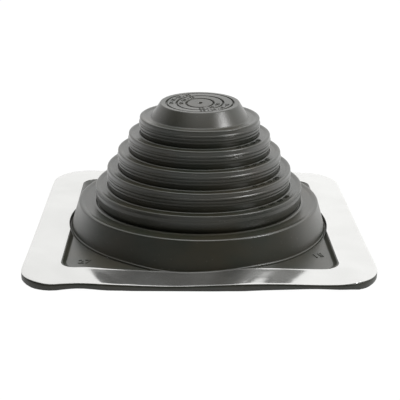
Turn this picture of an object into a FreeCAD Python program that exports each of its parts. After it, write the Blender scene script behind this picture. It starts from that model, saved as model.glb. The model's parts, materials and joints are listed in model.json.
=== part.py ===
import FreeCAD, Part
import math
import os

# Pipe flashing boot: a stepped rubber cone on a square base sheet, with a soft aluminium flange bonded on top.
# Millimetres, +Z up. The origin is the middle of the base's underside, on the axis of the cone.

# Collars, numbered from the largest at the bottom
collar_count = 5
largest_collar_radius = 65.4
collar_radius_step = 6.85
collar_height = 10.75
collar_bead_radius = 2.1
collar_neck_depth = 0.65
bead_rise = 0.8
bead_angles = (90, 48, 0)

# Trim ridge under the bead of every collar above the largest
ridge_drop = 0.9
ridge_height = 0.5

# Undercut wall of the plain largest collar, and the trim lip on the skirt's ledge round its foot
undercut_depth = 1.8
lip_width = 3.2
lip_height = 0.5

# Skirt below the largest collar
skirt_height = 20.3
skirt_ledge_width = 10.5
skirt_flare = 4.7
skirt_bead_radius = 2.0
skirt_fillet_size = 1.2

# Cap above the smallest collar
cap_height = 8.75
cap_ledge_width = 3.75
cap_flare = 5.6
cap_fillet_size = 1.2
cap_edge_size = 0.5
cap_groove_inset = 4.2
cap_groove_pitch = 6.15
cap_groove_half_width = 0.7
cap_groove_depth = 0.7
cap_dimple_radius = 1.7

# Rubber wall
collar_wall = 2.6
top_wall = 2.6

# Recessed web, and the window of the flange above it
web_thickness = 2.1
window_tuck = 0.2
window_corner_radius = 9.5
ramp_run = 2.2
ramp_corner_radius = 13.0

# Base sheet and flange
sheet_thickness = 3.5
flange_thickness = 0.7
flange_width = 21.2
base_corner_radius = 25.4

# Sealing groove under the rim of the base sheet
seal_border = 3.6
seal_groove_width = 2.0
seal_groove_depth = 0.8

# Derived sizes
skirt_top_radius = largest_collar_radius + skirt_ledge_width
skirt_foot_radius = skirt_top_radius + skirt_flare
smallest_collar_radius = largest_collar_radius - (collar_count - 1) * collar_radius_step
cap_foot_radius = smallest_collar_radius - collar_neck_depth - collar_bead_radius - cap_ledge_width
cap_top_radius = cap_foot_radius - cap_flare
cap_level = skirt_height + collar_count * collar_height
total_height = cap_level + cap_height
window_side = 2 * (skirt_foot_radius - window_tuck)
window_circle_radius = skirt_foot_radius + ramp_run
base_side = window_side + 2 * flange_width
axis_base = FreeCAD.Vector(0, 0, 0)
up = FreeCAD.Vector(0, 0, 1)


def point(radius, height):
    return FreeCAD.Vector(radius, 0, height)


def collar_radius(number):
    """Widest radius of a collar, where 0 is the largest one."""
    return largest_collar_radius - number * collar_radius_step


def collar_top(number):
    """Height of a collar's rim."""
    return skirt_height + (number + 1) * collar_height


def corner_point(centre_radius, centre_height, radius, degrees):
    angle = math.radians(degrees)
    return point(centre_radius + radius * math.cos(angle), centre_height + radius * math.sin(angle))


class Profile:
    """A half section that grows edge by edge and is revolved about the axis."""

    def __init__(self, start):
        self.start = start
        self.last = start
        self.edges = []

    def line_to(self, end):
        if end.distanceToPoint(self.last) > 1e-6:
            self.edges.append(Part.LineSegment(self.last, end).toShape())
            self.last = end

    def solid(self):
        self.line_to(self.start)
        return Part.Face(Part.Wire(self.edges)).revolve(axis_base, up, 360)


def add_bead(profile, outer_radius, top, radius):
    """Raised rounded rim of a ledge: over the crown and down to the wall."""
    for degrees in bead_angles:
        profile.line_to(corner_point(outer_radius - radius, top - radius, radius, degrees))


def add_ridged_collar(profile, number):
    """Bead, trim ridge and wall of one collar, down to the ledge below."""
    outer = collar_radius(number)
    top = collar_top(number)
    foot = top - collar_height - bead_rise
    add_bead(profile, outer - collar_neck_depth, top, collar_bead_radius)
    profile.line_to(point(outer, top - collar_bead_radius - ridge_drop))
    profile.line_to(point(outer - ridge_height, foot))


def add_plain_collar(profile):
    """Bead and undercut wall of the largest collar, and the trim lip round its foot."""
    outer = collar_radius(0)
    ledge = collar_top(0) - collar_height - bead_rise
    wall_foot = outer - undercut_depth
    add_bead(profile, outer, collar_top(0), collar_bead_radius)
    profile.line_to(point(wall_foot, ledge + lip_height))
    profile.line_to(point(wall_foot + lip_width, ledge + lip_height))
    profile.line_to(point(wall_foot + lip_width + lip_height, ledge))


def cap_groove_radii():
    """Radii of the ring grooves that fit between the dimple and the cap's edge, smallest first."""
    radii = []
    radius = cap_top_radius - cap_groove_inset
    while radius > cap_dimple_radius + 2 * cap_groove_half_width:
        radii.insert(0, radius)
        radius -= cap_groove_pitch
    return radii


def add_cap(profile):
    """Closed top with a centre dimple and ring grooves, and its flared wall."""
    top = total_height
    profile.line_to(point(cap_dimple_radius, top))
    for radius in cap_groove_radii():
        profile.line_to(point(radius - cap_groove_half_width, top))
        profile.line_to(point(radius, top - cap_groove_depth))
        profile.line_to(point(radius + cap_groove_half_width, top))
    profile.line_to(point(cap_top_radius - cap_edge_size, top))
    profile.line_to(point(cap_top_radius, top - cap_edge_size))
    ledge = cap_level - bead_rise
    profile.line_to(point(cap_foot_radius - cap_fillet_size / 2, ledge + cap_fillet_size))
    profile.line_to(point(cap_foot_radius + cap_fillet_size, ledge))


def add_skirt(profile):
    """Bead, sloping wall and foot fillet of the skirt, down to the web."""
    add_bead(profile, skirt_top_radius, skirt_height, skirt_bead_radius)
    profile.line_to(point(skirt_foot_radius, web_thickness + skirt_fillet_size))
    profile.line_to(point(skirt_foot_radius + skirt_fillet_size / 2, web_thickness))
    profile.line_to(point(skirt_foot_radius + skirt_fillet_size / 2, 0))


def cone_outside():
    profile = Profile(point(0, 0))
    profile.line_to(point(0, total_height - cap_groove_depth))
    add_cap(profile)
    for number in range(collar_count - 1, 0, -1):
        add_ridged_collar(profile, number)
    add_plain_collar(profile)
    add_skirt(profile)
    return profile.solid()


def cone_hollow():
    """The room inside, one bore for each collar, open at the base's underside."""
    profile = Profile(point(0, 0))
    profile.line_to(point(0, total_height - top_wall))
    profile.line_to(point(cap_top_radius - collar_wall, total_height - top_wall))
    profile.line_to(point(cap_foot_radius - collar_wall, cap_level - collar_wall))
    for number in range(collar_count - 1, -1, -1):
        bore = collar_radius(number) - collar_wall
        ceiling = collar_top(number) - collar_wall
        profile.line_to(point(bore, ceiling))
        profile.line_to(point(bore, ceiling - collar_height))
    profile.line_to(point(skirt_top_radius - collar_wall, skirt_height - collar_wall))
    profile.line_to(point(skirt_foot_radius - collar_wall, 0))
    return profile.solid()


def rounded_square(side, radius, height):
    """Closed wire of a square with rounded corners, lying level."""
    half = side / 2
    inner = half - radius
    diagonal = radius * math.sqrt(0.5)
    edges = []
    for quarter in range(4):
        turn = FreeCAD.Rotation(up, 90 * quarter)
        places = [
            FreeCAD.Vector(half, -inner, height),
            FreeCAD.Vector(half, inner, height),
            FreeCAD.Vector(inner + diagonal, inner + diagonal, height),
            FreeCAD.Vector(inner, half, height),
        ]
        start, side_end, middle, arc_end = [turn.multVec(place) for place in places]
        edges.append(Part.LineSegment(start, side_end).toShape())
        edges.append(Part.Arc(side_end, middle, arc_end).toShape())
    return Part.Wire(edges)


def slab(wire, thickness):
    return Part.Face(wire).extrude(up * thickness)


def window_opening():
    """Room cut through the flange: a rounded square joined to a circle that bulges past its sides."""
    square = slab(rounded_square(window_side, window_corner_radius, sheet_thickness), flange_thickness)
    circle = Part.makeCylinder(window_circle_radius, flange_thickness, up * sheet_thickness)
    return square.fuse(circle)


def web_pocket():
    """Room above the web in the base sheet, with a ramp from the window's edge down to the web."""
    foot = rounded_square(window_side - 2 * ramp_run, ramp_corner_radius, web_thickness)
    brim = rounded_square(window_side, window_corner_radius, sheet_thickness)
    depth = sheet_thickness - web_thickness
    circle = Part.makeCone(skirt_foot_radius, window_circle_radius, depth, up * web_thickness)
    return Part.makeLoft([foot, brim], True, True).fuse(circle)


def seal_groove():
    """Shallow groove under the sheet that leaves a sealing rib along the rim."""
    outer_side = base_side - 2 * seal_border
    outer_radius = base_corner_radius - seal_border
    inner_side = outer_side - 2 * seal_groove_width
    inner_radius = outer_radius - seal_groove_width
    outer = slab(rounded_square(outer_side, outer_radius, 0), seal_groove_depth)
    return outer.cut(slab(rounded_square(inner_side, inner_radius, 0), seal_groove_depth))


def make_rubber_boot():
    sheet = slab(rounded_square(base_side, base_corner_radius, 0), sheet_thickness)
    sheet = sheet.cut([web_pocket(), seal_groove()])
    return sheet.fuse(cone_outside()).cut(cone_hollow()).removeSplitter()


def make_aluminium_flange():
    plate = slab(rounded_square(base_side, base_corner_radius, sheet_thickness), flange_thickness)
    return plate.cut(window_opening()).removeSplitter()


def main():
    os.makedirs("parts", exist_ok=True)
    parts = {
        "rubber_boot": make_rubber_boot(),
        "aluminium_flange": make_aluminium_flange(),
    }
    for name, shape in parts.items():
        shape.exportStep(os.path.join("parts", name + ".step"))
        print(name, "valid", shape.isValid(), "solids", len(shape.Solids), "volume", round(shape.Volume, 1))


main()
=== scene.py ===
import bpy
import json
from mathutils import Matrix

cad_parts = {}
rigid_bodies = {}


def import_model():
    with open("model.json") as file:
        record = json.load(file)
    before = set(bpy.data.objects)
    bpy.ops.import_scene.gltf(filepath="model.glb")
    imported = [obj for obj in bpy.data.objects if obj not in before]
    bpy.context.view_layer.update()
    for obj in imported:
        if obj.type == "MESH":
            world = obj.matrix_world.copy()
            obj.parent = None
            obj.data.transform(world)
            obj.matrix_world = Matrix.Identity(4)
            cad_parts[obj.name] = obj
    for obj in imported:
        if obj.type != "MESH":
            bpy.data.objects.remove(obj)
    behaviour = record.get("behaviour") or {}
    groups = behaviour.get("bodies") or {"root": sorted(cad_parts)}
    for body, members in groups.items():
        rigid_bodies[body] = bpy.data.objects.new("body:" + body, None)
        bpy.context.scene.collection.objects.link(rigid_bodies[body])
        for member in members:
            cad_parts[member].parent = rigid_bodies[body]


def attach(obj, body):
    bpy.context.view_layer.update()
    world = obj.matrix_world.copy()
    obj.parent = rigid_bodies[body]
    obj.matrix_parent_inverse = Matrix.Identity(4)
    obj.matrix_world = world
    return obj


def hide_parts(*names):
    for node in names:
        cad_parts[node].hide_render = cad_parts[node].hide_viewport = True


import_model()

"""Dresses the pipe flashing boot: its moulded rubber, its soft aluminium flange and the studio round them."""

import json
import logging
import math
from dataclasses import dataclass, field
from enum import Enum
from typing import Any

import bpy
import numpy as np
from mathutils import Matrix, Vector

LOG = logging.getLogger("pipe_boot")
MM = 0.001
# Limits on a rounded corner: the share of an edge its arc may take, its turn per step in radians, and its steps
EDGE_SHARE, BEND_STEP, MOST_STEPS = 0.48, 0.5, 14
Pair = tuple[float, float]
Triple = tuple[float, float, float]
Tree = bpy.types.NodeTree
Socket = bpy.types.NodeSocket


class Slot(Enum):
    """Material slots of the record that the pieces take their finish from."""

    RUBBER = "rubber"
    FLANGE_METAL = "flange_metal"


def linear_colour(code: str) -> tuple[float, float, float, float]:
    """Turns an sRGB hex code into a linear colour.

    A channel c up to 0.04045 becomes c / 12.92, and a larger one ((c + 0.055) / 1.055) to the power 2.4.

    Args:
        code: Six hex digits, red first.

    Returns:
        Linear red, green and blue, and an alpha of 1.
    """
    channels = [int(code[i:i + 2], 16) / 255 for i in (0, 2, 4)]
    red, green, blue = [c / 12.92 if c <= 0.04045 else ((c + 0.055) / 1.055) ** 2.4 for c in channels]
    return red, green, blue, 1.0


def add_node(tree: Tree, kind: str, settings: dict[str | int, Any] | None = None,
             links: dict[str | int, Any] | None = None) -> bpy.types.Node:
    """Adds a shader node.

    Args:
        tree: The node tree that gets it.
        kind: Blender's name for the node's type, after the prefix ShaderNode.
        settings: Values by name: a property of the node where it has one, else the default of the input that has
            that name or number.
        links: Output sockets by the name or number of the input that each one feeds.

    Returns:
        The new node.
    """
    node = tree.nodes.new("ShaderNode" + kind)
    for name, value in (settings or {}).items():
        if isinstance(name, str) and hasattr(node, name):
            setattr(node, name, value)
        else:
            node.inputs[name].default_value = value
    for name, output in (links or {}).items():
        tree.links.new(output, node.inputs[name])
    return node


def noise(tree: Tree, place: Socket, size: float, detail: float) -> Socket:
    """Adds noise whose features have a size in metres, and gives its value."""
    return add_node(tree, "TexNoise", {"Scale": 1 / size, "Detail": detail}, {"Vector": place}).outputs["Fac"]


def spread(tree: Tree, value: Socket, source: Pair, target: Pair = (0.0, 1.0), kind: str = "LINEAR") -> Socket:
    """Maps a value from one range to another, holds it at the ends, and gives the result."""
    settings = {"interpolation_type": kind, "From Min": source[0], "From Max": source[1],
                "To Min": target[0], "To Max": target[1]}
    return add_node(tree, "MapRange", settings, {"Value": value}).outputs["Result"]


def add_object(name: str, data: bpy.types.ID) -> bpy.types.Object:
    """Puts a mesh, a curve, a lamp or a camera in the scene as an object."""
    added = bpy.data.objects.new(name, data)
    bpy.context.scene.collection.objects.link(added)
    return added


def blank_material(name: str) -> tuple[bpy.types.Material, Tree]:
    """Makes a node material without nodes.

    Args:
        name: The material's name.

    Returns:
        The material and its empty node tree.
    """
    material = bpy.data.materials.new(name)
    material.use_nodes = True
    material.node_tree.nodes.clear()
    return material, material.node_tree


@dataclass(frozen=True)
class MouldedRubber:
    """EPDM rubber, compression moulded: charcoal, with a soft satin skin and the fine grain of the mould."""

    base: str = "1f221a"
    bloom: str = "2a271c"
    dust: str = "8d8a84"
    dust_share: float = 0.25
    roughness_low: float = 0.28
    roughness_high: float = 0.40
    # A mould's grain is nearer 0.1 mm. It is drawn coarser, so that it shows.
    grain_size: float = 0.45 * MM
    grain_height: float = 0.08 * MM
    cloud_size: float = 22 * MM
    speck_spacing: float = 3.2 * MM
    speck_fade: Pair = (0.10, 0.055)

    def build(self) -> bpy.types.Material:
        """Builds the rubber: cloudy bloom in the colour, sparse dust specks, and grain in gloss and relief."""
        material, tree = blank_material("moulded_epdm_rubber")
        place = add_node(tree, "TexCoord").outputs["Object"]
        clouds = noise(tree, place, self.cloud_size, 4.0)
        grain = noise(tree, place, self.grain_size, 2.0)
        tint = add_node(tree, "Mix", {"data_type": "RGBA", 6: linear_colour(self.base), 7: linear_colour(self.bloom)},
                        {0: spread(tree, clouds, (0.35, 0.7))})
        specks = add_node(tree, "TexVoronoi", {"Scale": 1 / self.speck_spacing, "Randomness": 1.0},
                          {"Vector": place})
        speck = spread(tree, specks.outputs["Distance"], self.speck_fade, (0.0, self.dust_share))
        dusted = add_node(tree, "Mix", {"data_type": "RGBA", 7: linear_colour(self.dust)},
                          {0: speck, 6: tint.outputs[2]})
        gloss = spread(tree, grain, (0.3, 0.7), (self.roughness_low, self.roughness_high))
        relief = add_node(tree, "Bump", {"Strength": 0.35, "Distance": self.grain_height}, {"Height": grain})
        skin = add_node(tree, "BsdfPrincipled", {"IOR": 1.62},
                        {"Base Color": dusted.outputs[2], "Roughness": gloss, "Normal": relief.outputs["Normal"]})
        add_node(tree, "OutputMaterial", None, {"Surface": skin.outputs["BSDF"]})
        return material


@dataclass(frozen=True)
class MillFinishAluminium:
    """Soft aluminium sheet as it leaves the rolls: bright, nearly a mirror, with faint lines along the rolling.

    Each crease is its middle along x at the front strip's middle, its slant, half width and height.
    """

    base: str = "cfcfcd"
    dull: str = "c6c6c4"
    creases: tuple[tuple[float, float, float, float], ...] = ((23.0, -0.5, 18.0, 1.8), (58.0, -0.5, 18.0, 1.0),
                                                              (-64.0, 0.9, 16.0, 0.6))
    strip_middle: float = 92.0
    strip_fade: Pair = (-70 * MM, -50 * MM)
    roughness_low: float = 0.1
    roughness_high: float = 0.17
    haze: float = 0.13
    # Rolling lines are finer than 0.1 mm. They are drawn coarser, so that they show.
    line_pitch: float = 0.8 * MM
    line_length: float = 60 * MM
    cloud_size: float = 35 * MM
    wave_size: float = 24 * MM
    wave_height: float = 0.8 * MM

    def crease(self, tree: Tree, place: Socket, under: bpy.types.Node,
               sizes: tuple[float, float, float, float]) -> bpy.types.Node:
        """Adds a soft crease across the front strip, as a bump: a ridge in x + slant * y, faded out behind the strip.

        Args:
            tree: The material's node tree.
            place: The object's coordinates.
            under: The bump that this one adds to.
            sizes: Its middle, slant, half width and height, in millimetres.

        Returns:
            The bump.
        """
        middle, slant, radius, depth = sizes
        run = add_node(tree, "VectorMath", {"operation": "DOT_PRODUCT", 1: (1.0, slant, 0.0)}, {0: place})
        off = add_node(tree, "Math", {"operation": "SUBTRACT", 1: (middle - self.strip_middle * slant) * MM},
                       {0: run.outputs["Value"]})
        far = add_node(tree, "Math", {"operation": "ABSOLUTE"}, {0: off.outputs[0]})
        ridge = spread(tree, far.outputs[0], (0.0, radius * MM), (1.0, 0.0), "SMOOTHSTEP")
        along = add_node(tree, "SeparateXYZ", None, {"Vector": place}).outputs["Y"]
        strip = spread(tree, along, self.strip_fade, (1.0, 0.0))
        height = add_node(tree, "Math", {"operation": "MULTIPLY"}, {0: ridge, 1: strip})
        return add_node(tree, "Bump", {"Distance": depth * MM},
                        {"Height": height.outputs[0], "Normal": under.outputs["Normal"]})

    def build(self) -> bpy.types.Material:
        """Builds the metal: noise drawn out along the rolling sets the lines, and broad noise the dull clouds."""
        material, tree = blank_material("mill_finish_aluminium")
        place = add_node(tree, "TexCoord").outputs["Object"]
        drawn = add_node(tree, "Mapping",
                         {"Scale": (1 / self.line_length, 1 / self.line_pitch, 1 / self.line_pitch)},
                         {"Vector": place})
        lines = noise(tree, drawn.outputs[0], 1.0, 3.0)
        dulled = spread(tree, noise(tree, place, self.cloud_size, 3.0), (0.35, 0.75), (0.0, 0.6))
        tint = add_node(tree, "Mix", {"data_type": "RGBA", 6: linear_colour(self.base), 7: linear_colour(self.dull)},
                        {0: dulled})
        gloss = spread(tree, lines, (0.3, 0.7), (self.roughness_low, self.roughness_high))
        waves = noise(tree, place, self.wave_size, 1.0)
        waved = add_node(tree, "Bump", {"Distance": self.wave_height}, {"Height": waves})
        for sizes in self.creases:
            waved = self.crease(tree, place, waved, sizes)
        relief = add_node(tree, "Bump", {"Strength": 0.05, "Distance": 0.05 * MM},
                          {"Height": lines, "Normal": waved.outputs["Normal"]})
        mirror = add_node(tree, "BsdfPrincipled", {"Metallic": 1.0},
                          {"Base Color": tint.outputs[2], "Roughness": gloss, "Normal": relief.outputs["Normal"]})
        haze = add_node(tree, "BsdfPrincipled", {"Metallic": 1.0, "Roughness": 0.5},
                        {"Base Color": tint.outputs[2], "Normal": relief.outputs["Normal"]})
        metal = add_node(tree, "MixShader", {"Fac": self.haze},
                         {1: mirror.outputs["BSDF"], 2: haze.outputs["BSDF"]})
        add_node(tree, "OutputMaterial", None, {"Surface": metal.outputs[0]})
        return material


@dataclass(frozen=True)
class WhiteSweep:
    """Matt white studio paper: the camera sees plain white with a breath of contact shadow.

    A mirror ray also meets glowing white, and in front of a line through the part only a share of it.
    """

    paper: str = "a2a2a0"
    shadow_share: float = 0.06
    glow: float = 1.06
    mirrored_glow: float = 1.5
    front_share: float = 0.28
    front_way: Triple = (0.2, 1.0, 0.0)
    front_fade: Pair = (-0.05, 0.02)

    def build(self) -> bpy.types.Material:
        """Builds the paper: a camera or mirror ray gets mostly flat white, and any other ray the lit paper."""
        material, tree = blank_material("studio_paper")
        place = add_node(tree, "TexCoord").outputs["Object"]
        relief = add_node(tree, "Bump", {"Strength": 0.02, "Distance": 0.05 * MM},
                          {"Height": noise(tree, place, 2 * MM, 2.0)})
        paper = add_node(tree, "BsdfDiffuse", {"Color": linear_colour(self.paper)},
                         {"Normal": relief.outputs["Normal"]})
        path = add_node(tree, "LightPath")
        level = spread(tree, path.outputs["Is Glossy Ray"], (0.0, 1.0), (self.glow, self.mirrored_glow))
        glow = add_node(tree, "Emission", None, {"Strength": level})
        depth = add_node(tree, "VectorMath", {"operation": "DOT_PRODUCT", 1: self.front_way}, {0: place})
        behind = spread(tree, depth.outputs["Value"], self.front_fade, (self.front_share, 1.0), "SMOOTHSTEP")
        mirrored = add_node(tree, "Math", {"operation": "MULTIPLY"}, {0: path.outputs["Is Glossy Ray"], 1: behind})
        seen = add_node(tree, "Math", {"operation": "MAXIMUM"},
                        {0: path.outputs["Is Camera Ray"], 1: mirrored.outputs[0]})
        share = add_node(tree, "Math", {"operation": "MULTIPLY", 1: 1 - self.shadow_share}, {0: seen.outputs[0]})
        mixed = add_node(tree, "MixShader", None,
                         {0: share.outputs[0], 1: paper.outputs[0], 2: glow.outputs[0]})
        add_node(tree, "OutputMaterial", None, {"Surface": mixed.outputs[0]})
        return material


@dataclass(frozen=True)
class RoundedSquare:
    """Level square outline with rounded corners, centred on the axis, in millimetres."""

    half: float
    corner_radius: float

    def reach(self, turn: np.ndarray) -> np.ndarray:
        """Gives the distance from the axis to the outline.

        The direction is folded into an eighth of a turn. There the outline is the side, half / cos(turn), up to
        where the corner's arc starts. Past that it is the far crossing of the ray with the arc's circle,
        b + sqrt(b^2 - d^2 + r^2), with b the arc centre's reach along the ray, d its distance and r the radius.

        Args:
            turn: Directions in radians.

        Returns:
            The distance along each direction.
        """
        fold = np.abs((turn + math.pi / 4) % (math.pi / 2) - math.pi / 4)
        centre = self.half - self.corner_radius
        along = centre * (np.cos(fold) + np.sin(fold))
        under_root = along ** 2 - 2 * centre ** 2 + self.corner_radius ** 2
        on_arc = along + np.sqrt(np.maximum(under_root, 0))
        return np.where(self.half * np.tan(fold) <= centre, self.half / np.cos(fold), on_arc)

    def inset(self, distance: float) -> "RoundedSquare":
        """Gives the outline that lies a distance inside this one."""
        return RoundedSquare(self.half - distance, max(self.corner_radius - distance, 0.5))


def rounded_path(corners: list[Triple], spacing: float = 0.4) -> np.ndarray:
    """Rounds the corners of an open half section.

    Points are complex numbers, radius + i * height. At a corner that turns by an angle a between the unit
    directions u and v, the arc starts t = R * tan(|a| / 2) before the corner, with t at most EDGE_SHARE of the
    shorter edge. Its centre is the start + i * sign(a) * R * u, and its points are the start turned about that centre
    by equal parts of a.

    Args:
        corners: Radius, height and corner radius of each corner, in millimetres, from first to last.
        spacing: The longest step along an arc, in millimetres.

    Returns:
        The path as complex numbers.
    """
    table = np.array(corners, float)
    spots = table[:, 0] + 1j * table[:, 1]
    edges = np.diff(spots)
    lengths = np.abs(edges)
    units = edges / lengths
    bends = np.angle(units[1:] / units[:-1])
    half_tan = np.maximum(np.tan(np.abs(bends) / 2), 1e-6)
    shorter = np.minimum(lengths[1:], lengths[:-1])
    cut = np.minimum(table[1:-1, 2] * half_tan, EDGE_SHARE * shorter)
    radii = cut / half_tan
    starts = spots[1:-1] - cut * units[:-1]
    centres = starts + 1j * np.sign(bends) * radii * units[:-1]
    steps = np.maximum(radii * np.abs(bends) / spacing, np.abs(bends) / BEND_STEP)
    counts = np.clip(np.ceil(steps), 1, MOST_STEPS).astype(int)
    corner = np.repeat(np.arange(len(bends)), counts + 1)
    first = np.repeat(np.cumsum(counts + 1) - counts - 1, counts + 1)
    part = (np.arange(len(corner)) - first) / np.repeat(counts, counts + 1)
    arcs = centres[corner] + (starts - centres)[corner] * np.exp(1j * bends[corner] * part)
    return np.concatenate([spots[:1], arcs, spots[-1:]])


def with_supports(path: np.ndarray, margin: float = 0.45) -> np.ndarray:
    """Adds a point near both ends of each long straight, so that smooth shading stays flat along it.

    Args:
        path: A half section as complex numbers.
        margin: How far from the ends the new points lie, in millimetres.

    Returns:
        The longer path.
    """
    step = np.diff(path)
    long = np.abs(step) > 4 * margin
    unit = step / np.maximum(np.abs(step), 1e-9)
    after = path[:-1] + margin * unit
    before = path[1:] - margin * unit
    rows = np.stack([path[:-1], np.where(long, after, np.nan), np.where(long, before, np.nan)], axis=1).ravel()
    return np.append(rows[~np.isnan(rows)], path[-1])


@dataclass(frozen=True)
class Spokes:
    """Directions of the grid's columns round the axis, closer together towards the square's corners."""

    count: int = 192
    crowding: float = 0.45

    def turns(self) -> np.ndarray:
        """Gives the directions: u + crowding * sin(4u) / 4 for even steps of u round a full turn."""
        even = np.arange(self.count) * 2 * math.pi / self.count
        return even + self.crowding * np.sin(4 * even) / 4


def grid_mesh(name: str, reach: np.ndarray, height: np.ndarray, turns: np.ndarray, poles: bool) -> bpy.types.Object:
    """Makes a mesh from rows that run round the axis.

    The point in row i and column j is (reach * cos(turn), reach * sin(turn), height). Columns close round the
    axis. With poles, the first and last row are one point each. Without, the last row joins the first.

    Args:
        name: The object's name.
        reach: Distance from the axis by row and column, in millimetres.
        height: Height by row and column, in millimetres.
        turns: Direction of each column, in radians.
        poles: Whether the rows end in points on the axis.

    Returns:
        The new object, in metres.
    """
    rows, columns = reach.shape
    points = np.stack([reach * np.cos(turns), reach * np.sin(turns), height], axis=-1).reshape(-1, 3) * MM
    row = np.arange(rows - 1 if poles else rows)
    here = (row[:, None] * columns + np.arange(columns)).ravel()
    beside = (row[:, None] * columns + np.roll(np.arange(columns), -1)).ravel()
    below = (here + columns) % (rows * columns)
    below_beside = (beside + columns) % (rows * columns)
    quads = np.stack([here, below, below_beside, beside], axis=1)
    mesh = bpy.data.meshes.new(name)
    if poles:
        first, last = 0, (rows - 1) * columns
        points[first:first + columns] = points[first]
        points[last:last + columns] = points[last]
        quads = np.where(quads < columns, first, quads)
        quads = np.where(quads >= last, last, quads)
        keep, quads = np.unique(quads, return_inverse=True)
        quads = quads.reshape(-1, 4)
        points = points[keep]
        top, bottom = quads[:columns, [0, 1, 2]], quads[-columns:, [0, 1, 3]]
        faces = top.tolist() + quads[columns:-columns].tolist() + bottom.tolist()
    else:
        faces = quads.tolist()
    mesh.from_pydata(points.tolist(), [], faces)
    mesh.polygons.foreach_set("use_smooth", np.ones(len(mesh.polygons), bool))
    mesh.update()
    return add_object(name, mesh)


def settle(piece: bpy.types.Object, material: bpy.types.Material, slot: Slot, node: str | None = None) -> None:
    """Gives a piece its material and body, hides the CAD node that it stands for, if any, and reports it with its
    slot.

    Args:
        piece: The finished piece.
        material: What it is made of.
        slot: The record's slot that it takes its finish from.
        node: The CAD node that it stands for, if any.
    """
    piece.data.materials.clear()
    piece.data.materials.append(material)
    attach(piece, "root")
    if node:
        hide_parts(node)
    LOG.info("%s: %d faces, slot %s", piece.name, len(piece.data.polygons), slot.value)


@dataclass(frozen=True)
class SheetWave:
    """How the soft sheet and its flange lie: gentle waves that grow to the rim, and swells along the front.

    Each swell is its middle along x, its half width and its height in millimetres. A pinch changes the sheet's
    thickness in the same way: a negative one thins it. A fade is its line along y and how soft it is.
    """

    swells: tuple[Triple, ...] = ((-17.0, 26.0, -1.15), (-66.0, 11.0, 0.6), (-83.0, 5.0, -0.35),
                                  (-96.0, 10.0, 0.5), (38.0, 22.0, 0.6), (86.0, 10.0, 0.6))
    pinches: tuple[Triple, ...] = ((65.0, 17.0, -1.25), (20.0, 14.0, 0.4), (91.0, 6.0, 1.2),
                                   (-68.0, 9.0, -0.5), (-90.0, 7.5, 1.4))
    swell_fade: Pair = (-72.0, 3.0)
    ripple: float = 0.25
    ripple_lengths: Pair = (17.0, 21.0)
    ripple_phases: Pair = (0.8, -0.6)
    ripple_fade: Pair = (-84.0, 4.0)
    window_gain: float = 0.4

    def along_front(self, across: np.ndarray, along: np.ndarray, swells: tuple[Triple, ...]) -> np.ndarray:
        """Sums height * exp(-((x - middle) / width)^2) over swells, and fades the sum out behind the front strip."""
        middle, width, height = np.array(swells).T
        swell = (height * np.exp(-((across[..., None] - middle) / width) ** 2)).sum(-1)
        line, softness = self.swell_fade
        return swell / (1 + np.exp((along - line) / softness))

    def lift(self, across: np.ndarray, along: np.ndarray, share: np.ndarray) -> np.ndarray:
        """Gives the height of the sheet over level.

        It is the front's swells, stronger by window_gain at the window than at the rim, plus ripples in both
        directions that grow with the square of the share and fade out in the front strip.

        Args:
            across: x in millimetres.
            along: y in millimetres.
            share: 0 at the window's edge to 1 at the rim.

        Returns:
            The lift in millimetres.
        """
        swell = self.along_front(across, along, self.swells) * (1 + self.window_gain * (1 - share))
        ripple = self.ripple * (np.sin(across / self.ripple_lengths[0] + self.ripple_phases[0])
                                + np.sin(along / self.ripple_lengths[1] + self.ripple_phases[1]))
        line, softness = self.ripple_fade
        return swell + share ** 2 * ripple / (1 + np.exp(-(along - line) / softness))


@dataclass
class BaseShape:
    """Sizes that the rubber sheet and the flange share, in millimetres."""

    rim: RoundedSquare = RoundedSquare(101.6, 25.4)
    tight_corner: float = 19.0
    window: RoundedSquare = RoundedSquare(80.4, 9.5)
    window_circle: float = 82.5
    ramp_foot: RoundedSquare = RoundedSquare(77.7, 12.6)
    seal_groove: tuple[float, ...] = (3.6, 3.65, 5.55, 5.6)
    seal_depth: float = 0.6
    sheet_top: float = 3.95
    flange_top: float = 4.2
    sheet_thickness: float = 3.8
    wave: SheetWave = SheetWave()
    turns: np.ndarray = field(default_factory=lambda: Spokes().turns())

    def brim(self) -> np.ndarray:
        """Gives the reach of the window's edge: the rounded square or the circle, whichever is further out."""
        return np.maximum(self.window.reach(self.turns), self.window_circle)

    def rim_reach(self, inset: float = 0.0) -> np.ndarray:
        """Gives the reach of the sheet's rim, or of a line inside it. The corner at -x, -y is cut tighter."""
        tight = RoundedSquare(self.rim.half, self.tight_corner)
        turned = self.turns % (2 * math.pi)
        front_left = (turned > math.pi) & (turned < 1.5 * math.pi)
        return np.where(front_left, tight.inset(inset).reach(self.turns), self.rim.inset(inset).reach(self.turns))

    def lift(self, reach: np.ndarray) -> np.ndarray:
        """Gives the wave's lift for rows of reaches, with the share of the strip that each point has crossed."""
        brim = self.brim()
        share = np.clip((reach - brim) / (self.rim_reach() - brim), 0, 1)
        return self.wave.lift(reach * np.cos(self.turns), reach * np.sin(self.turns), share)

    def thickness(self, reach: np.ndarray) -> np.ndarray:
        """Gives the rubber sheet's thickness for rows of reaches."""
        across, along = reach * np.cos(self.turns), reach * np.sin(self.turns)
        return self.sheet_thickness + self.wave.along_front(across, along, self.wave.pinches)


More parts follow.
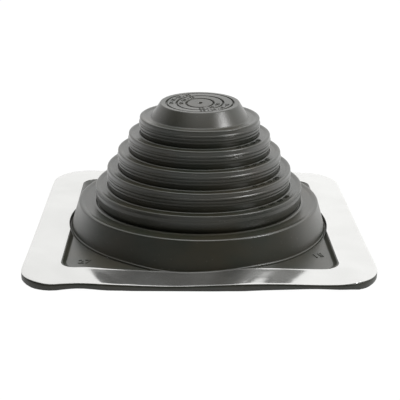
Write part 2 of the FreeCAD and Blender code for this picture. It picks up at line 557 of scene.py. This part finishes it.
@dataclass
class RubberBoot:
    """One-piece moulded rubber boot: capped stepped cone, skirt, recessed web and base sheet."""

    base: BaseShape
    finish: bpy.types.Material
    collar_count: int = 5
    largest_radius: float = 65.4
    radius_step: float = 6.85
    collar_height: float = 10.75
    skirt_height: float = 20.3
    skirt_top: float = 75.9
    skirt_foot: float = 81.1
    cap_height: float = 8.2
    cap_top: float = 24.6
    cap_foot: float = 30.6
    bead: float = 1.45
    top_bead: float = 2.2
    skirt_bead: float = 1.7
    ledge_dip: float = 0.5
    settling: tuple[float, ...] = (0.7, 0.25, 0.3, 0.3, 0.65)
    slack: float = 1.0
    skirt_settling: float = 0.3
    neck: float = 0.65
    wall: float = 2.6
    web: float = 2.1
    groove_radii: tuple[float, ...] = (8.5, 14.5, 20.8)
    groove_top: float = 0.7
    groove_floor: float = 0.4
    groove_depth: float = 1.3
    dimple: float = 1.2
    ledge_inset: float = 3.4
    rise_inset: float = 1.6
    rise_round: float = 2.0
    # Inset from the collar's side, drop from its rim and rounding of each corner down a ridged wall
    ridges: tuple[Triple, ...] = ((0.65, 2.2, 0.3), (0.75, 2.75, 0.3), (0.22, 3.3, 0.45), (0.22, 3.95, 0.5),
                                  (0.55, 4.6, 0.5), (0.65, 5.6, 0.5), (0.4, 6.1, 0.35), (0.7, 6.8, 0.4),
                                  (0.75, 7.4, 0.3), (0.55, 7.9, 0.3), (0.8, 8.5, 0.3))
    top_tilt: Pair = (0.035, 0.085)
    top_sink: float = 0.75
    tilt_fade: Pair = (8.5, 22.0)
    slack_bell: Pair = (28.0, 12.0)
    foot_fade: Pair = (14.0, 11.0)
    dip_gain: float = 1.35

    @property
    def cap_level(self) -> float:
        """Height of the smallest collar's rim."""
        return self.skirt_height + self.collar_count * self.collar_height

    @property
    def top(self) -> float:
        """Height of the closed top."""
        return self.cap_level + self.cap_height

    def collar(self, number: int) -> tuple[float, float]:
        """Gives a collar's widest radius and rim height, where number 0 is the largest."""
        height = self.skirt_height + (number + 1) * self.collar_height - self.settling[number]
        return self.largest_radius - number * self.radius_step, height

    def ledge(self, number: int) -> float:
        """Gives the height of the ledge round the foot of a collar, or round the cap's foot for the count."""
        rim = self.collar(number - 1)[1] if number else self.skirt_height - self.skirt_settling
        return rim - self.ledge_dip

    def cap_corners(self) -> list[Triple]:
        """Gives the corners of the top with its dimple and ring grooves, and of the flared cap wall."""
        top, floor, soft = self.top, self.top - self.groove_depth, 0.12
        corners = [(0, top - self.dimple, 0), (self.dimple, top - self.dimple, 0.2), (self.dimple + 0.5, top, 0.15)]
        for radius in self.groove_radii:
            corners += [(radius - self.groove_top, top, soft), (radius - self.groove_floor, floor, soft),
                        (radius + self.groove_floor, floor, soft), (radius + self.groove_top, top, soft)]
        corners += [(self.cap_top, top, 0.6), (self.cap_foot, self.ledge(self.collar_count), 0.7)]
        return corners

    def rim_corners(self, outer: float, top: float, bead: float) -> list[Triple]:
        """Gives the corners of a rim: the ledge that rises to it, and its rounded outer edge."""
        return [(outer - self.ledge_inset, top - self.ledge_dip, self.rise_round),
                (outer - self.rise_inset, top, self.rise_round), (outer, top, bead)]

    def ridged_corners(self, number: int) -> list[Triple]:
        """Gives the corners of a collar with its rim, three trim ridges down its wall and a lip round its foot."""
        outer, top = self.collar(number)
        foot = self.ledge(number)
        bead = self.top_bead if number == self.collar_count - 1 else self.bead
        corners = self.rim_corners(outer - self.neck, top, bead)
        corners += [(outer - inset, top - drop, rounding) for inset, drop, rounding in self.ridges]
        return corners + [(outer - 1.05, foot - 0.2, 0.3)] + self.lip_corners(outer - 0.25, foot)

    @staticmethod
    def lip_corners(crest: float, ledge: float) -> list[Triple]:
        """Gives the corners of the thin lip that runs round a wall's foot on the ledge."""
        return [(crest - 0.5, ledge - 0.2, 0.15), (crest - 0.15, ledge + 0.35, 0.15),
                (crest + 0.15, ledge + 0.35, 0.15), (crest + 0.6, ledge, 0.4)]

    def plain_corners(self) -> list[Triple]:
        """Gives the corners of the largest collar: a rim, a bellied wall drawn in at its foot, a gap and a lip."""
        outer, top = self.collar(0)
        ledge = self.ledge(0) - 0.3
        corners = self.rim_corners(outer, top, self.bead)
        corners += [(outer - 0.4, top - 2.5, 0.8), (outer - 0.05, top - 4.2, 2.0), (outer - 0.2, top - 8.5, 2.5),
                    (outer - 1.4, ledge - 0.4, 0.3), (outer - 0.7, ledge - 0.5, 0.3), (outer - 0.1, ledge + 0.5, 0.2),
                    (outer + 0.2, ledge + 0.5, 0.2), (outer + 1.2, ledge, 0.6)]
        return corners

    def skirt_corners(self) -> list[Triple]:
        """Gives the corners of the skirt: shoulder, sloping wall, and the thin lip round its foot on the web."""
        corners = self.rim_corners(self.skirt_top + 0.1, self.skirt_height - self.skirt_settling, self.skirt_bead)
        corners += [(self.skirt_foot - 0.15, self.web + 1.5, 0.5),
                    (self.skirt_foot + 0.25, self.web + 1.25, 0.2), (self.skirt_foot + 0.4, self.web, 0.2)]
        return corners

    def outside(self) -> np.ndarray:
        """Gives the outside of the cone as one rounded path, from the top's middle down to the web."""
        corners = self.cap_corners()
        for number in range(self.collar_count - 1, 0, -1):
            corners += self.ridged_corners(number)
        corners += self.plain_corners() + self.skirt_corners() + [(self.skirt_foot + 0.6, self.web, 0)]
        return with_supports(rounded_path(corners))

    def inside(self) -> np.ndarray:
        """Gives the stepped hollow as one rounded path, from the underside up to the middle of its ceiling."""
        corners = [(0, self.top - self.wall, 0), (self.cap_top - self.wall, self.top - self.wall, 0.6),
                   (self.cap_foot - self.wall, self.cap_level - self.wall, 0.6)]
        for number in range(self.collar_count - 1, -1, -1):
            outer, top = self.collar(number)
            corners += [(outer - self.wall, top - self.wall, 0.6),
                        (outer - self.wall, top - self.wall - self.collar_height, 0.4)]
        corners += [(self.skirt_top - self.wall, self.skirt_height - self.wall, 0.6),
                    (self.skirt_foot - self.wall, 0, 0)]
        return with_supports(rounded_path(corners, 0.6))[::-1]

    def sheet_rows(self) -> tuple[np.ndarray, np.ndarray]:
        """Works out the web, the ramp at the window, the sheet's rim and its underside.

        Each row is a reach by direction. The web is level. The ramp rises as a smooth step between two rounded
        squares. Past the window the sheet follows the flange's wave, less the flange's thickness, and its
        underside lies its own thickness lower but never below the ground.

        Returns:
            Reaches and heights by row and direction, in millimetres.
        """
        base, turns = self.base, self.base.turns
        foot = np.maximum(base.ramp_foot.reach(turns), self.skirt_foot + 0.8)
        start = np.full_like(turns, self.skirt_foot + 0.6)
        brim = base.brim()
        rim = base.rim_reach()
        web_share = np.linspace(0.08, 1, 9)[:, None]
        ramp_share = np.linspace(0, 1, 8)[1:, None]
        web_reach = start + (foot - start) * web_share
        ramp_reach = foot + (brim - foot) * ramp_share
        web_height = self.web + self.front_dip(web_reach, turns)
        ramp_low = self.web + self.front_dip(ramp_reach, turns)
        ramp_top = base.sheet_top + 0.15 + base.lift(brim[None])
        ramp_height = ramp_low + (ramp_top - ramp_low) * (3 * ramp_share ** 2 - 2 * ramp_share ** 3)
        strip_share = np.array([0.02, 0.2, 0.4, 0.6, 0.75, 0.88, 0.98, 1, 1, 1, 0.985])[:, None]
        strip_reach = brim + (rim - brim) * strip_share
        under = np.array([0, 0, 0, 0, 0, 0, 0, 0.12, 0.5, 0.9, 1])[:, None] * base.thickness(strip_reach)
        strip_height = base.sheet_top + base.lift(strip_reach) - under
        groove_reach = np.stack([base.rim_reach(inset) for inset in base.seal_groove])
        back_share = np.array([0.6, 0.35, 0.1, 0])[:, None]
        back_reach = np.concatenate([groove_reach, brim + (rim - brim) * back_share])
        depth = base.seal_depth * np.array([0, 1, 1, 0, 0, 0, 0, 0])[:, None]
        inward = np.clip((rim - back_reach) / (rim - brim), 0, 1)
        thickness = base.thickness(back_reach) * (1 - inward) + (base.sheet_top + base.lift(back_reach)) * inward
        back_height = base.sheet_top + base.lift(back_reach) - thickness + depth
        reach = np.concatenate([web_reach, ramp_reach, strip_reach, back_reach])
        height = np.concatenate([web_height, ramp_height, strip_height, back_height])
        return reach, np.maximum(height, 0)

    def front_dip(self, reach: np.ndarray, turns: np.ndarray) -> np.ndarray:
        """Gives how the web follows the swells of the sheet's front strip."""
        wave = self.base.wave
        return self.dip_gain * wave.along_front(reach * np.cos(turns), reach * np.sin(turns), wave.swells)

    def sag(self, reach: np.ndarray, height: np.ndarray, turns: np.ndarray) -> np.ndarray:
        """Gives how far the soft boot has settled.

        Above the cap's foot the surface tilts by top_tilt along x and y and sinks by top_sink. Both fade out with
        reach from the first radius of tilt_fade over its second, and in over the height of the cap's wall. The -x
        side is slack: it hangs lower by the square of how far a direction leans to -x, times a bell curve in height.
        The skirt's foot follows the web, and that fades out up to the first height of foot_fade.

        Args:
            reach: Distance from the axis by row and direction, in millimetres.
            height: Height before settling, in millimetres.
            turns: Direction of each point, in radians.

        Returns:
            The change in height, in millimetres.
        """
        start, span = self.tilt_fade
        fade = np.clip(1 - (reach - start) / span, 0, 1) * np.clip((height - self.cap_level) / self.cap_height, 0, 1)
        tilt = self.top_tilt[0] * np.cos(turns) + self.top_tilt[1] * np.sin(turns)
        middle, width = self.slack_bell
        lean = self.slack * np.clip(-np.cos(turns), 0, 1) ** 2 * np.exp(-((height - middle) / width) ** 2)
        end, span = self.foot_fade
        foot = self.front_dip(reach, turns) * np.clip((end - height) / span, 0, 1)
        return fade * (tilt * reach - self.top_sink) - np.where(reach < self.skirt_foot, lean, 0) + foot

    def settled(self, path: np.ndarray) -> tuple[np.ndarray, np.ndarray]:
        """Turns a half section into rows of reach and height, with the boot settled and nothing under the ground."""
        turns = self.base.turns
        reach, height = np.outer(path.real, np.ones(len(turns))), np.outer(path.imag, np.ones(len(turns)))
        return reach, np.maximum(height + self.sag(reach, height, turns), 0)

    def build(self) -> bpy.types.Object:
        """Builds the boot as one closed surface: outside of the cone, sheet, underside and hollow."""
        outside, inside, sheet = self.settled(self.outside()), self.settled(self.inside()), self.sheet_rows()
        reach = np.concatenate([outside[0], sheet[0], inside[0]])
        height = np.concatenate([outside[1], sheet[1], inside[1]])
        piece = grid_mesh("moulded_boot", reach, height, self.base.turns, poles=True)
        settle(piece, self.finish, Slot.RUBBER, "rubber_boot")
        return piece


@dataclass
class RaisedNumbers:
    """Plain numbers moulded on the boot: pipe diameters on the ledges and the top, and sizes on two pads."""

    boot: RubberBoot
    finish: bpy.types.Material
    relief: float = 0.4
    top_relief: float = 0.28
    sunk: float = 0.05
    ledge_text: float = 2.6
    top_text: float = 2.6
    pad_text: float = 5.5
    ledge_numbers: tuple[str, ...] = ("106 - 109 - 112 - 115", "92 - 95 - 98 - 101", "79 - 82 - 84 - 87",
                                      "65 - 68 - 70 - 73")
    ledge_gap: float = 1.75
    ledge_turn: float = -40.0
    # Text at the back and at the front of the top, from the inner ring outwards
    top_numbers: tuple[tuple[str, str], ...] = (("17 - 20 - 23", "32 - 35 - 38"),
                                                ("23 - 26 - 29 - 32", "35 - 38 - 41 - 44"))
    top_turns: Pair = (148.0, -52.0)
    # Text, place and turn on each pad
    pads: tuple[tuple[str, Pair, float], ...] = (("27", (-67.5, -66.2), 0.0), ("15", (70.8, -54.5), 20.0))
    points: list[np.ndarray] = field(default_factory=list)
    faces: list[list[int]] = field(default_factory=list)

    @staticmethod
    def letters(text: str, size: float, relief: float) -> tuple[np.ndarray, list[list[int]]]:
        """Makes a line of text as closed solids, centred on the origin in the xy plane.

        Args:
            text: The characters.
            size: Their height, in millimetres.
            relief: Thickness of the solids, in millimetres.

        Returns:
            Points in millimetres, and faces as lists of their indices.
        """
        curve = bpy.data.curves.new("number", "FONT")
        curve.body, curve.size, curve.extrude, curve.resolution_u = text, size * 1.4, relief / 2, 2
        curve.align_x, curve.align_y = "CENTER", "CENTER"
        holder = add_object("number", curve)
        mesh = bpy.data.meshes.new_from_object(holder.evaluated_get(bpy.context.evaluated_depsgraph_get()))
        points = np.empty(len(mesh.vertices) * 3)
        mesh.vertices.foreach_get("co", points)
        faces = [list(polygon.vertices) for polygon in mesh.polygons]
        for data, blocks in ((holder, bpy.data.objects), (curve, bpy.data.curves), (mesh, bpy.data.meshes)):
            blocks.remove(data)
        return points.reshape(-1, 3), faces

    def add(self, points: np.ndarray, faces: list[list[int]]) -> None:
        """Adds placed text to what has been gathered."""
        start = sum(len(block) for block in self.points)
        self.points.append(points)
        self.faces += [[start + index for index in face] for face in faces]

    def on_arc(self, text: str, size: float, relief: float, reach: float, height: float, middle: float,
               inward: bool) -> None:
        """Bends text round the axis: x runs along the arc, and y towards the axis or away from it.

        Args:
            text: The characters.
            size: Their height, in millimetres.
            relief: How thick they are, in millimetres.
            reach: Radius of the text's middle line, in millimetres.
            height: Level of the surface under the text, in millimetres.
            middle: Direction of the text's middle, in degrees.
            inward: Whether the characters' tops point to the axis.
        """
        points, faces = self.letters(text, size, relief)
        side = -1 if inward else 1
        turns = math.radians(middle) - side * points[:, 0] / reach
        reaches = reach + side * points[:, 1]
        heights = points[:, 2] + relief / 2 - self.sunk + height
        heights = heights + self.boot.sag(reaches, np.full_like(reaches, height), turns)
        self.add(np.stack([reaches * np.cos(turns), reaches * np.sin(turns), heights], axis=1), faces)

    def on_web(self, text: str, size: float, place: Pair, turn: float) -> None:
        """Lays text level on the web, turned by an angle in degrees."""
        points, faces = self.letters(text, size, self.relief)
        cos, sin = math.cos(math.radians(turn)), math.sin(math.radians(turn))
        across = place[0] + points[:, 0] * cos - points[:, 1] * sin
        along = place[1] + points[:, 0] * sin + points[:, 1] * cos
        wave = self.boot.base.wave
        heights = points[:, 2] + self.relief / 2 - self.sunk + self.boot.web
        heights = heights + wave.along_front(across, along, wave.swells)
        self.add(np.stack([across, along, heights], axis=1), faces)

    def build(self) -> bpy.types.Object:
        """Builds all the numbers as one mesh.

        Returns:
            The numbers.
        """
        boot = self.boot
        for number, text in enumerate(self.ledge_numbers):
            reach = boot.collar(number)[0] - boot.radius_step + self.ledge_gap
            self.on_arc(text, self.ledge_text, self.relief, reach, boot.ledge(number + 1), self.ledge_turn, True)
        rings = [(inner + outer) / 2 for inner, outer in zip(boot.groove_radii, boot.groove_radii[1:])]
        for reach, (back, front) in zip(rings, self.top_numbers):
            self.on_arc(back, self.top_text, self.top_relief, reach, boot.top, self.top_turns[0], False)
            self.on_arc(front, self.top_text, self.top_relief, reach, boot.top, self.top_turns[1], True)
        for text, place, turn in self.pads:
            self.on_web(text, self.pad_text, place, turn)
        mesh = bpy.data.meshes.new("raised_numbers")
        mesh.from_pydata((np.concatenate(self.points) * MM).tolist(), [], self.faces)
        mesh.update()
        piece = add_object("raised_numbers", mesh)
        settle(piece, self.finish, Slot.RUBBER)
        return piece


@dataclass
class AluminiumFlange:
    """Soft aluminium sheet bonded on the rubber, with a window for the boot and softened cut edges."""

    base: BaseShape
    finish: bpy.types.Material
    edge: float = 0.05
    burr: float = 0.22
    burr_beats: tuple[int, int] = (83, 29)
    burr_level: float = 0.55
    turned_up: float = 0.2
    window_gap: float = 0.12
    crossings: int = 14

    def build(self) -> bpy.types.Object:
        """Builds the flange as one closed ring.

        Its section has eight edge points, four at the window and four at the rim, each pair of them cutting a
        corner by the edge size. Rows between them cross the top and the bottom, and all ride the sheet's wave.
        The window's edge is turned up a little. Small burrs stand up from the sheared edges, where the product of
        two sines passes a level.

        Returns:
            The flange.
        """
        base = self.base
        brim, rim = base.brim() + self.window_gap, base.rim_reach()
        quick, slow = self.burr_beats
        beat = np.sin(quick * base.turns) * np.sin(slow * base.turns + 1)
        burrs = self.burr * np.clip(beat - self.burr_level, 0, 1)
        low, high, cut = base.sheet_top, base.flange_top, self.edge
        across = np.linspace(0, 1, self.crossings)[:, None]
        across = np.concatenate([[[0.0], [0.03]], across[1:-1], [[1.0]]])
        count = len(across)
        top_reach = (brim + cut) + (rim - brim - 2 * cut) * across
        edge_in = np.stack([brim, brim, brim + cut * 0.3])
        edge_out = np.stack([rim - cut * 0.3, rim, rim])
        reach = np.concatenate([edge_in, top_reach, edge_out, top_reach[::-1]])
        levels = np.concatenate([[low + cut * 0.5, high - cut, high - cut * 0.3], np.full(count, high),
                                 [high - cut * 0.3, high - cut, low + cut * 0.5], np.full(count, low)])
        at_window = np.concatenate([np.ones(4), np.zeros(2 * count + 2)])
        at_edge = np.concatenate([np.ones(4), np.zeros(count - 2), np.ones(4), np.zeros(count)])
        height = levels[:, None] + base.lift(reach) + at_edge[:, None] * burrs + at_window[:, None] * self.turned_up
        piece = grid_mesh("flange_sheet", reach, height, base.turns, poles=False)
        settle(piece, self.finish, Slot.FLANGE_METAL, "aluminium_flange")
        return piece


@dataclass
class Studio:
    """White studio round the part: paper floor, a soft lamp, a pale surround that is dark behind the camera."""

    camera_place: Triple = (-0.01398, -0.60023, 0.23013)
    pan: float = -1.427
    tilt: float = -19.5
    roll: float = -0.885
    lens: float = 89.24
    surround: float = 1.62
    front: float = 0.03
    left_fill: float = 0.17
    ceiling: float = 5.0
    backdrop: float = 1.35
    pale_way: Triple = (0.1, 0.9, 0.42)
    key_place: Triple = (0.95, -0.44, 0.82)
    key_side: float = 0.26
    key_power: float = 10.0
    aim: Triple = (0.0, 0.0, 0.04)
    floor_half: float = 3.0
    floor_lines: int = 13
    floor_drop: float = 0.0002

    def camera(self) -> None:
        """Sets the camera: pan about the upright, then tilt about its own right, then roll about its view."""
        turn = (Matrix.Rotation(math.radians(self.pan), 3, "Z") @ Matrix.Rotation(math.radians(self.tilt), 3, "X")
                @ Matrix.Rotation(math.radians(self.roll), 3, "Y"))
        right, ahead, up = turn.col[0], turn.col[1], turn.col[2]
        data = bpy.data.cameras.new("camera")
        data.lens, data.sensor_width, data.clip_start = self.lens, 36.0, 0.01
        camera = add_object("camera", data)
        axes = Matrix((right, up, -ahead)).transposed()
        camera.matrix_world = Matrix.Translation(Vector(self.camera_place)) @ axes.to_4x4()
        bpy.context.scene.camera = camera

    def world(self) -> None:
        """Sets the surround: white to the camera. Elsewhere it is dark in front and pale behind and to the right,
        by a smooth step on how far a direction leans that way, with a ceiling that brightens towards overhead."""
        world = bpy.data.worlds.new("studio_surround")
        bpy.context.scene.world = world
        world.use_nodes = True
        tree = world.node_tree
        tree.nodes.clear()
        way = add_node(tree, "TexCoord").outputs["Generated"]
        lean = add_node(tree, "VectorMath", {"operation": "DOT_PRODUCT", 1: self.pale_way}, {0: way})
        climb = add_node(tree, "SeparateXYZ", None, {"Vector": way})
        wall = spread(tree, climb.outputs["X"], (-0.6, 0.6), (0.85 * self.surround, 1.15 * self.surround))
        fill = spread(tree, climb.outputs["X"], (-0.9, 0.2), (self.left_fill, self.front))
        level = add_node(tree, "MapRange",
                         {"interpolation_type": "SMOOTHSTEP", "From Min": 0.08, "From Max": 0.6},
                         {"Value": lean.outputs["Value"], "To Min": fill, "To Max": wall})
        ceiling = spread(tree, climb.outputs["Z"], (0.74, 1.02), (0.0, self.ceiling), "SMOOTHSTEP")
        lit = add_node(tree, "Math", {"operation": "MAXIMUM"}, {0: level.outputs["Result"], 1: ceiling})
        seen = add_node(tree, "Math", {"operation": "MULTIPLY", 1: self.backdrop},
                        {0: add_node(tree, "LightPath").outputs["Is Camera Ray"]})
        strength = add_node(tree, "Math", {"operation": "MAXIMUM"}, {0: seen.outputs[0], 1: lit.outputs[0]})
        glow = add_node(tree, "Background", None, {"Strength": strength.outputs[0]})
        add_node(tree, "OutputWorld", None, {"Surface": glow.outputs[0]})

    def lamp(self) -> None:
        """Adds the key lamp, a soft square one that faces the part. Its side is in metres and its power in watts."""
        data = bpy.data.lights.new("key_lamp", "AREA")
        data.size, data.energy = self.key_side, self.key_power
        place = Vector(self.key_place)
        aim = Vector(self.aim) - place
        lamp = add_object("key_lamp", data)
        lamp.matrix_world = Matrix.Translation(place) @ aim.to_track_quat("-Z", "Y").to_matrix().to_4x4()

    def floor(self, paper: bpy.types.Material) -> None:
        """Lays the paper: a level grid of quads from one side of the studio to the other."""
        count = self.floor_lines
        line = np.linspace(-self.floor_half, self.floor_half, count)
        across, along = np.meshgrid(line, line)
        points = np.stack([across.ravel(), along.ravel(), np.full(across.size, -self.floor_drop)], axis=1)
        start = (np.arange(count - 1)[:, None] * count + np.arange(count - 1)).ravel()
        faces = np.stack([start, start + 1, start + count + 1, start + count], axis=1)
        mesh = bpy.data.meshes.new("paper_floor")
        mesh.from_pydata(points.tolist(), [], faces.tolist())
        mesh.materials.append(paper)
        floor = add_object("paper_floor", mesh)

    def build(self) -> None:
        """Builds the whole studio."""
        self.camera()
        self.world()
        self.lamp()
        self.floor(WhiteSweep().build())
        bpy.context.scene.view_settings.view_transform = "Standard"
        LOG.info("studio: camera, surround, lamp and floor")


def main() -> None:
    """Builds the part's pieces round the CAD frame, then the studio."""
    logging.basicConfig(level=logging.INFO, format="%(name)s: %(message)s")
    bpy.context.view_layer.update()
    base = BaseShape()
    rubber = MouldedRubber().build()
    boot = RubberBoot(base, rubber)
    boot.build()
    RaisedNumbers(boot, rubber).build()
    AluminiumFlange(base, MillFinishAluminium().build()).build()
    Studio().build()


if __name__ == "__main__":
    main()
